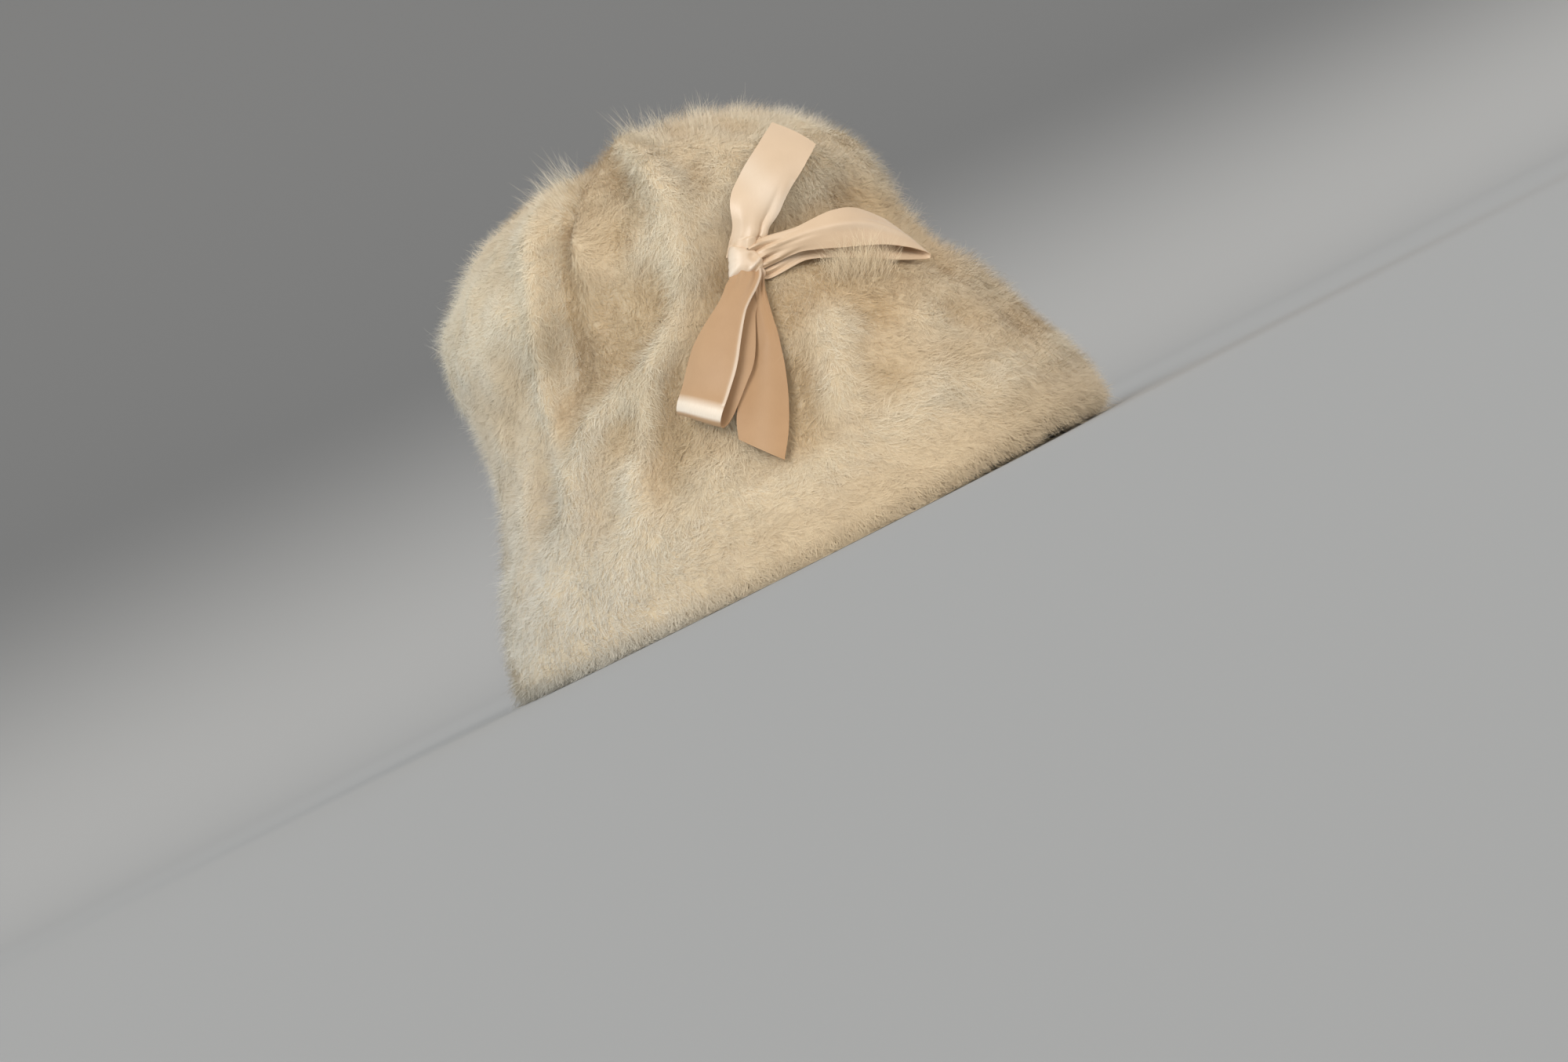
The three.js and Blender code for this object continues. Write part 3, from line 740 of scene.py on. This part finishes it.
# Tufts that stand off the hat. Each row: the angle and height where it grows, its heading, how many
# degrees it stands off the felt, and its length in mm.
TUFTS = [
    # on the edges of the lobe and of the front fold
    (85, 170, 110, 40, 17), (90, 165, 140, 40, 15), (90, 170, 125, 35, 17), (40, 165, 115, 40, 16),
    (30, 170, 95, 40, 14), (45, 170, 130, 35, 18), (80, 160, 120, 30, 12), (150, 140, 150, 40, 14),
    # over the crown and down its front and back edges
    (20, 165, 80, 45, 15), (10, 160, 70, 40, 13), (-15, 110, 50, 30, 15), (-15, 100, 20, 45, 13),
    (-10, 60, 15, 45, 12), (145, 110, -170, 45, 14), (140, 85, -140, 45, 14), (135, 45, 160, 50, 13),
    # pale locks that lie beside the bow and along the front fold
    (35, 100, -80, 10, 17), (40, 100, -100, 10, 15), (30, 90, -120, 10, 20), (35, 85, -135, 10, 18),
    (45, 160, -100, 10, 18), (50, 140, -100, 10, 18), (30, 70, -60, 15, 16), (42, 75, -110, 15, 16),
    # round the far side
    (-60, 160, 70, 35, 11), (-110, 150, 120, 40, 11), (175, 150, 115, 40, 11), (-150, 90, -160, 45, 10),
]
# A lock that has worked out over the lower edge of the front loop, in the same columns.
LOCK_OVER_LOOP = [
    (15, 85, 70, 80, 18), (19, 87, 95, 85, 24), (23, 90, 115, 85, 20),
]

BRUSH_REACH = 13 * MM
BRUSHED_DOWN = 0.12              # how much the hair leans downward everywhere
RIM_HEADING = -10.0              # and how it lies near the rim
PLACES_AT_ONCE = 20000
WELL_OUTSIDE = 0.3
HAIR_OVER_FLOOR = 0.25 * MM

wool = np.random.default_rng(41)
felt_points = mesh_points(felt)
felt_normals = mesh_normals(felt)
felt_out, felt_fold = (rows_of(felt.data.attributes[title].data, "value", 1, np.float32)[:, 0]
                       for title in ("outer_side", "fold_height"))
felt.data.calc_loop_triangles()
felt_faces = rows_of(felt.data.loop_triangles, "vertices", 3, int)
felt_skin = BVHTree.FromPolygons(felt_points.tolist(), felt_faces.tolist())


def on_felt(angle, height):
    """The place on the outside of the felt at an angle from the front and a height in mm."""
    away = toward(math.radians(angle))
    hit = felt_skin.ray_cast(away * WELL_OUTSIDE + Vector((0, 0, height * MM)), -away)[0]
    if hit is None:
        hit = felt_skin.ray_cast(away * 20 * MM + Vector((0, 0, WELL_OUTSIDE)), Vector((0, 0, -1)))[0]
    return np.array(hit)


def headings(angle, degrees):
    """The direction with a heading on the hat's side, at an angle round from the front."""
    turn, course = np.radians(angle), np.radians(degrees)
    level, rise = np.cos(course), np.sin(course)
    return np.stack([level * np.cos(turn), -level * np.sin(turn), rise + 0 * turn], -1)


brushed_at = np.array([on_felt(angle, height) for angle, height, _ in BRUSHED])
brushed_toward = headings(*np.array([(angle, heading) for angle, _, heading in BRUSHED]).T)


def waves(places, span, seed):
    """A smooth random swell from -1 to 1 over the hat, with bumps about one span apart."""
    chance = np.random.default_rng(seed)
    total = np.zeros(len(places))
    for _ in range(7):
        direction = unit(chance.normal(size=3))
        length = span * chance.uniform(1.2, 2.6)
        total += np.sin(places @ direction * (2 * math.pi / length) + chance.uniform(0, 6.28))
    return np.clip(total / 2.6, -1, 1)


def place_on_hat(places):
    return np.degrees(np.arctan2(-places[:, 0], -places[:, 1])), places[:, 2] / MM


def hem_share(places):
    """1 round the very rim, falling to 0 a little way up the brim."""
    return ramp(places[:, 2], 12 * MM, 6 * MM)


def turned_round(way, outward, turn):
    """The way along the felt, turned about the line that stands out from it."""
    return way * np.cos(turn)[:, None] + np.cross(outward, way) * np.sin(turn)[:, None]


def brushed_way(places, outward):
    """Which way the brush left the hair at each place, along the felt."""
    angle, height = place_on_hat(places)
    way = np.zeros_like(places)
    for start in range(0, len(places), PLACES_AT_ONCE):
        some = slice(start, start + PLACES_AT_ONCE)
        gap = ((places[some, None, :] - brushed_at[None, :, :]) ** 2).sum(2)
        way[some] = np.exp(-gap / (2 * BRUSH_REACH ** 2)) @ brushed_toward
    near_rim = ramp(height, 20, 0)[:, None]
    way += np.array((0, 0, -BRUSHED_DOWN)) + 0.8 * near_rim * headings(angle, RIM_HEADING)
    way = unit(way - outward * dots(way, outward)[:, None])
    turn = 0.55 * waves(places, 16 * MM, 5) + 0.35 * waves(places, 6 * MM, 6)
    turn *= 1 - 0.5 * ramp(height, 30, 0)
    return turned_round(way, outward, turn)


def freed_at_hem(places, outward, way):
    """Round the rim the hair hangs free: it falls past the edge and sticks out from under it."""
    share = hem_share(places)[:, None]
    level = unit(places * (1, 1, 0))
    clear = ramp(places[:, 2:], 0, 4 * MM)
    fall = unit(level * (1.2 - clear) - clear * np.array((0, 0, 1)))
    outward = unit(outward * (1 - share) + level * share)
    way = way * (1 - share) + (0.4 * way + fall) * share
    return outward, unit(way - 0.8 * outward * dots(way, outward)[:, None])


def roots(count, inner_share):
    """Places for so many hairs, over the outside, the rim and the turned-under edge of the brim."""
    a, b, c = (felt_points[felt_faces[:, k]] for k in range(3))
    area = np.linalg.norm(np.cross(b - a, c - a), axis=1)
    outer = felt_out[felt_faces].mean(1)
    height = ((a + b + c) / 3)[:, 2]
    turned = inner_share * ramp(height, 20 * MM, 14 * MM)
    share = np.where(outer > 0.5, 1 + ramp(height, 9 * MM, 0), turned)
    chance = area * share
    picked = wool.choice(len(area), count, p=chance / chance.sum())
    u, v = wool.random(count), wool.random(count)
    flip = u + v > 1
    u[flip], v[flip] = 1 - u[flip], 1 - v[flip]
    w = 1 - u - v
    corner = felt_faces[picked]
    shares = np.stack([w, u, v], 1)

    def blend(values):
        return np.einsum("ij,ij...->i...", shares, values[corner])

    return blend(felt_points), unit(blend(felt_normals)), blend(felt_out), blend(felt_fold)


def search_tree(centres):
    tree = KDTree(len(centres))
    for i, centre in enumerate(centres):
        tree.insert(centre, i)
    tree.balance()
    return tree


def grow(place, outward, way, length, lift, droop, curl, steps):
    """Lines of hair that leave the felt at the lift angle, bend over by droop and turn by curl."""
    lines = [place]
    for k in range(steps):
        part = (k + 0.5) / steps
        rise = lift - droop * part
        ahead = turned_round(way, outward, curl * part)
        step = ahead * np.cos(rise)[:, None] + outward * np.sin(rise)[:, None]
        lines.append(lines[-1] + step * (length / steps)[:, None])
    return np.stack(lines, 1)


bow_points, bow_faces = np.zeros((0, 3)), []
bow_skins = [(grid.reshape(-1, 3), grid_faces(grid).tolist())
             for grid in (tail_up_grid, loop_front_grid, loop_down_grid, tail_down_grid)]
bow_skins.append((mesh_points(knot), [list(p.vertices) for p in knot.data.polygons]))
for spots, faces in bow_skins:
    bow_faces += [[corner + len(bow_points) for corner in face] for face in faces]
    bow_points = np.concatenate([bow_points, spots])
bow_skin = BVHTree.FromPolygons(bow_points.tolist(), bow_faces)
bow_near = search_tree(bow_points[::6])

BOW_MARGIN = 16 * MM             # hair further off than this can't reach the bow
HAIR_REACH = 17 * MM
RIBBON_OVERHEAD = 30 * MM        # a ribbon no higher than this over a root presses its hair
TIP_CLEARANCE = 0.2 * MM
UNDER_RIBBON = 0.9 * MM          # how far below a ribbon the hair that it presses stays
PRESSED_FLAT = 0.2 * MM          # the lowest that hair is pressed
BESIDE_RIBBON = 0.8 * MM         # tips nearer to a ribbon than this are thinned out


def press_under_bow(lines, outward, keep_over):
    """Hair under a ribbon is pressed flat by it, and hair that would pass through one is left out.

    Of the hair whose tips come close beside a ribbon, only the share keep_over stays.
    """
    kept = np.ones(len(lines), bool)
    low, high = bow_points.min(0) - BOW_MARGIN, bow_points.max(0) + BOW_MARGIN
    close = np.where(np.all((lines[:, 0] > low) & (lines[:, 0] < high), axis=1))[0]
    for i in close:
        root, out = Vector(lines[i, 0]), Vector(outward[i])
        if bow_near.find(root)[2] > HAIR_REACH:
            continue
        hit = bow_skin.ray_cast(root, out, RIBBON_OVERHEAD)
        if hit[0] is not None:
            room = max(hit[3] - UNDER_RIBBON, PRESSED_FLAT)
            rises = (lines[i] - lines[i, 0]) @ outward[i]
            top = rises.max()
            if top > room:
                lines[i] -= np.outer(rises * (1 - room / top), outward[i])
        for a, b in zip(lines[i, :-1], lines[i, 1:]):
            step = Vector(b - a)
            crossing = bow_skin.ray_cast(Vector(a), step.normalized(), step.length + TIP_CLEARANCE)
            if crossing[0] is not None:
                kept[i] = False
                break
        if kept[i] and hit[0] is None and wool.random() > keep_over:
            if bow_skin.find_nearest(Vector(lines[i, -1]))[3] < BESIDE_RIBBON:
                kept[i] = False
    return kept


HAIR_TWIST = 0.3                 # how far the strips turn from lying flat
TURNED_HEADING = 170.0           # which way the flat of a turned lock's hairs faces
TUFTS_CENTRE = np.array((0, 0, 60 * MM))


def hair_mesh(name, lines, outward, width, tone, fold, round_share):
    """Joins the hair lines into one mesh of thin tapering strips that lie flat to the felt."""
    count, stations = lines.shape[:2]
    steps = stations - 1
    ahead = unit(np.diff(lines, axis=1, append=2 * lines[:, -1:] - lines[:, -2:-1]))
    twist = wool.normal(0, HAIR_TWIST, count)
    aside = unit(np.cross(ahead, outward[:, None, :]))
    flat = np.cross(aside, ahead)
    across = aside * np.cos(twist)[:, None, None] + flat * np.sin(twist)[:, None, None]
    part = np.arange(stations) / steps
    half = 0.5 * width[:, None] * (1 - 0.75 * part ** 1.7)

    def both_edges(middle, offset):
        """The two edges' values in turn, from the root on, and the tip's."""
        pairs = np.stack([middle - offset, middle + offset], 2)[:, :steps]
        return np.concatenate([pairs.reshape(count, -1, 3), middle[:, -1:]], 1)

    spots = both_edges(lines, across * half[..., None])
    per = steps * 2 + 1
    first = np.arange(count) * per
    rungs = first + 2 * np.arange(steps - 1)[:, None]
    quads = (rungs[..., None] + (0, 1, 3, 2)).reshape(-1, 4)
    tips = (first + 2 * (steps - 1))[:, None] + (0, 1, 2)
    mesh = bpy.data.meshes.new(name)
    mesh.vertices.add(count * per)
    mesh.vertices.foreach_set("co", spots.astype(np.float32).ravel())
    loops = np.concatenate([quads.ravel(), tips.ravel()]).astype(np.int32)
    mesh.loops.add(len(loops))
    mesh.loops.foreach_set("vertex_index", loops)
    mesh.polygons.add(len(quads) + len(tips))
    starts = np.concatenate([np.arange(len(quads)) * 4, len(quads) * 4 + np.arange(len(tips)) * 3])
    mesh.polygons.foreach_set("loop_start", starts.astype(np.int32))
    mesh.update(calc_edges=True)
    mesh.validate()
    shine = outward[:, None, :] * (1 - round_share) + np.cross(across, ahead) * round_share
    lit = unit(both_edges(shine, across * 0.2)).reshape(-1, 3)
    mesh.polygons.foreach_set("use_smooth", np.ones(len(mesh.polygons), bool))
    mesh.normals_split_custom_set_from_vertices(lit.tolist())
    along = np.concatenate([np.repeat(part[:steps], 2), [1.0]])
    store(mesh, along=np.tile(along, count), tone=np.repeat(tone, per), fold_height=np.repeat(fold, per))
    piece = new_piece(name, mesh)
    piece.data.materials.append(beige_hair)
    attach(piece, "root")


beige_hair, wiring, sockets = new_stuff("beige_hair", {
    "Roughness": 0.62, "Specular IOR Level": 0.28, "Sheen Weight": 0.3, "Sheen Roughness": 0.5})
tip = wiring.worth("along")
fold_here = wiring.worth("fold_height")
# Painted light and shade by fold height: lighter on crests, darker in hollows; the hollows' warmth is
# partly the undercoat.
valley_shaded_hair = wiring.mix(tip, (0.59, 0.435, 0.255, 1), (0.75, 0.575, 0.35, 1))
crest_lit_hair = wiring.mix(tip, (0.75, 0.66, 0.50, 1), (0.875, 0.795, 0.64, 1))
pocket_shaded_hair = wiring.mix(tip, (0.42, 0.29, 0.165, 1), (0.56, 0.41, 0.24, 1))
painted_fold_shade = wiring.mix(wiring.spread(fold_here, -1.4, 1.7), valley_shaded_hair, crest_lit_hair)
painted_fold_and_pocket_shade = wiring.mix(wiring.spread(fold_here, -6.0, -2.2), pocket_shaded_hair, painted_fold_shade)
drift = wiring.spread(wiring.noise(wiring.here(), 55, 3, 0.6), 0.3, 0.7)
warm = wiring.mix(wiring.spread(drift, 0, 1, 0.0, 0.28), painted_fold_and_pocket_shade, (0.80, 0.665, 0.44, 1))
# Painted light: the hair toward the back is mixed paler and greyer, standing for the cool window light on
# that side.
toward_back = wiring.node("ShaderNodeVectorMath", operation="DOT_PRODUCT")
wiring.feed(wiring.here(), toward_back.inputs[0])
toward_back.inputs[1].default_value = (-0.7, 0.7, -0.3)
paler = wiring.mix(tip, (0.69, 0.64, 0.555, 1), (0.815, 0.78, 0.71, 1))
with_painted_window_light = wiring.mix(wiring.spread(toward_back.outputs["Value"], 0.03, 0.10, 0.0, 0.6), warm, paler)
shade = wiring.mix(wiring.worth("tone"), (0.90, 0.88, 0.85, 1), (1.04, 1.04, 1.05, 1))
wiring.feed(wiring.mix(1.0, with_painted_window_light, shade, "MULTIPLY"), sockets["Base Color"])


def coat_length(places):
    """The coat is shorter on the brim and on the lobe at the back, and hangs longer round the hem."""
    angle, height = place_on_hat(places)
    crown = 0.62 + 0.38 * ramp(height, 0, 45)
    lobe = 1 - 0.22 * np.exp(-((angle - 122) / 28) ** 2)
    return (crown + 0.35 * hem_share(places)) * lobe * (1 + 0.22 * waves(places, 20 * MM, 9))


def painted_shade_height(fold, places):
    """The height that the hair's colour goes by.

    The pale lobe meets the darker panel in a sharp line along the crease between them: painted light
    on the lobe's edge and painted shade beside it. The hair is painted paler at the folds' foot and up
    the brim, and painted darker on the crown's top.
    """
    angle, height = place_on_hat(places)
    past = angle - 84 - 12 * (np.clip(165 - height, 0, 90) / 65) ** 1.6
    share = np.exp(-(past / 15) ** 2) * ramp(height, 92, 100) * ramp(height, 176, 170)
    creased = np.where(past > 0, np.maximum(fold, 1.8), np.minimum(fold, -1.4))
    fold = fold + share * (creased - fold)
    fold = fold + 1.2 * ramp(angle, 70, 90) * ramp(height, 110, 80)
    fold = fold + 0.6 * ramp(height, 75, 55) * ramp(height, 12, 27)
    return fold - 1.6 * ramp(height, 158, 172)


INNER_LENGTH = 0.55              # of hair on the turned-under edge, against that outside


def coat(name, count, steps, base, width, lift, droop, stray, gather, wisp_size, inner_share, seed,
         parts):
    """Grows one layer of the pile, gathers it into wisps, and joins it into meshes of even size.

    The base length and the width are in mm, and the lift, droop and stray in radians.
    """
    place, outward, outer, fold = roots(count, inner_share)
    fold = painted_shade_height(fold, place)
    way = brushed_way(place, outward)
    free = outer > 0.5
    outward[free], way[free] = freed_at_hem(place[free], outward[free], way[free])
    length = base * MM * coat_length(place) * wool.uniform(0.75, 1.2, count)
    length *= np.where(free, 1, INNER_LENGTH)
    chance = np.random.default_rng(seed)
    middles = chance.choice(count, max(count // wisp_size, 1), replace=False)
    wisps = search_tree(place[middles])
    wisp = np.array([wisps.find(root)[1] for root in place])
    wisp_lift, wisp_curl, wisp_turn = (
        chance.normal(0, spread, len(middles)) for spread in (0.09, 0.5, 0.2))
    wisp_tone = chance.uniform(-0.06, 0.06, len(middles))
    own_way = wool.normal(0, 1, (4, count))

    def lines_at(hairs, index, own):
        turn = wisp_turn[index] + stray * own[0]
        heading = turned_round(way[hairs], outward[hairs], turn)
        rise = lift + wisp_lift[index] + 0.16 * own[1]
        bend = droop + 0.5 * wisp_lift[index] + 0.18 * own[2]
        side = wisp_curl[index] + 0.35 * own[3]
        return grow(place[hairs], outward[hairs], heading, length[hairs], rise, bend, side, steps)

    lines = lines_at(np.arange(count), wisp, own_way)
    guides = lines_at(middles, np.arange(len(middles)), np.zeros((4, len(middles))))
    part = (np.arange(steps + 1) / steps)[None, :, None]
    pull = gather * part ** 1.3
    target = guides[wisp] + (place - place[middles][wisp])[:, None, :] * (1 - 0.75 * part)
    lines = lines * (1 - pull) + target * pull
    lines[..., 2] = np.maximum(lines[..., 2], HAIR_OVER_FLOOR)
    kept = press_under_bow(lines, outward, keep_over=0.5)
    cloud = 0.55 * waves(place, 9 * MM, 21) + 0.45 * waves(place, 24 * MM, 22)
    tone = np.clip(0.55 + 0.25 * cloud + wisp_tone[wisp] + 0.07 * own_way[0], 0, 1)
    wide = width * MM * wool.uniform(0.7, 1.25, count)
    hair = [values[kept] for values in (lines, outward, wide, tone, fold)]
    order = np.argsort(place_on_hat(hair[0][:, 0])[0])
    for k, share in enumerate(np.array_split(order, parts)):
        hair_mesh(f"{name}_{k + 1}", *(values[share] for values in hair), round_share=0.1)


coat("undercoat", count=170000, steps=1, base=4.6, width=0.36, lift=0.20, droop=0.15, stray=0.50,
     gather=0.05, wisp_size=10, inner_share=0.8, seed=3, parts=1)
coat("haze", count=180000, steps=1, base=6.3, width=0.072, lift=0.92, droop=0, stray=0.95,
     gather=0.05, wisp_size=10, inner_share=0.5, seed=5, parts=1)
coat("long_coat", count=110000, steps=2, base=7.2, width=0.11, lift=0.27, droop=0.38, stray=0.42,
     gather=0.08, wisp_size=14, inner_share=0.35, seed=4, parts=2)
coat("loose_hairs", count=33000, steps=3, base=11.3, width=0.065, lift=0.80, droop=0.7, stray=0.50,
     gather=0.15, wisp_size=6, inner_share=0.2, seed=8, parts=1)


def tufts(name, rows, hairs, spread, width, droop, stray, turned, fold):
    """Locks that stand off the pile, each drawn to a soft point, with hairs that bend over by droop."""
    every = []
    for angle, height, heading, stand, long in rows:
        centre = on_felt(angle, height)
        out = unit(centre - TUFTS_CENTRE)
        ahead = headings(angle, heading)
        facing = unit(out + turned * headings(angle, TURNED_HEADING))
        for _ in range(hairs):
            shift = wool.normal(0, spread, 3)
            spot = felt_skin.find_nearest(Vector(centre + shift * MM))[0]
            peak = math.exp(-(shift @ shift) / (6 * spread ** 2))
            every.append((np.array(spot), out, unit(ahead + wool.normal(0, stray, 3)),
                          long * MM * (0.2 + 0.8 * peak) * wool.uniform(0.45, 1.0),
                          math.radians(stand) + wool.normal(0.14, 0.2), droop * wool.uniform(0.8, 1.2),
                          wool.normal(0, 0.7), facing))
    spots, outs, aheads, size, lift, bend, side, shown = (np.array(column) for column in zip(*every))
    lines = grow(spots, outs, aheads, size, lift, bend, side, 4)
    lines[..., 2] = np.maximum(lines[..., 2], HAIR_OVER_FLOOR)
    kept = press_under_bow(lines, outs, keep_over=0.6)
    count = kept.sum()
    wide, tone = np.full(count, width * MM), wool.uniform(0.4, 1, count)
    hair_mesh(name, lines[kept], shown[kept], wide, tone, np.full(count, fold), round_share=0.4)


# The fold value places the tufts on the painted light-and-shade scale: the standing tufts take the lit
# crest colour.
tufts("standing_tufts", TUFTS, hairs=170, spread=3.6, width=0.055, droop=0.8, stray=0.4,
      turned=0, fold=3)
tufts("lock_over_loop", LOCK_OVER_LOOP, hairs=600, spread=3.6, width=0.085, droop=1.7, stray=0.4,
      turned=1, fold=0)
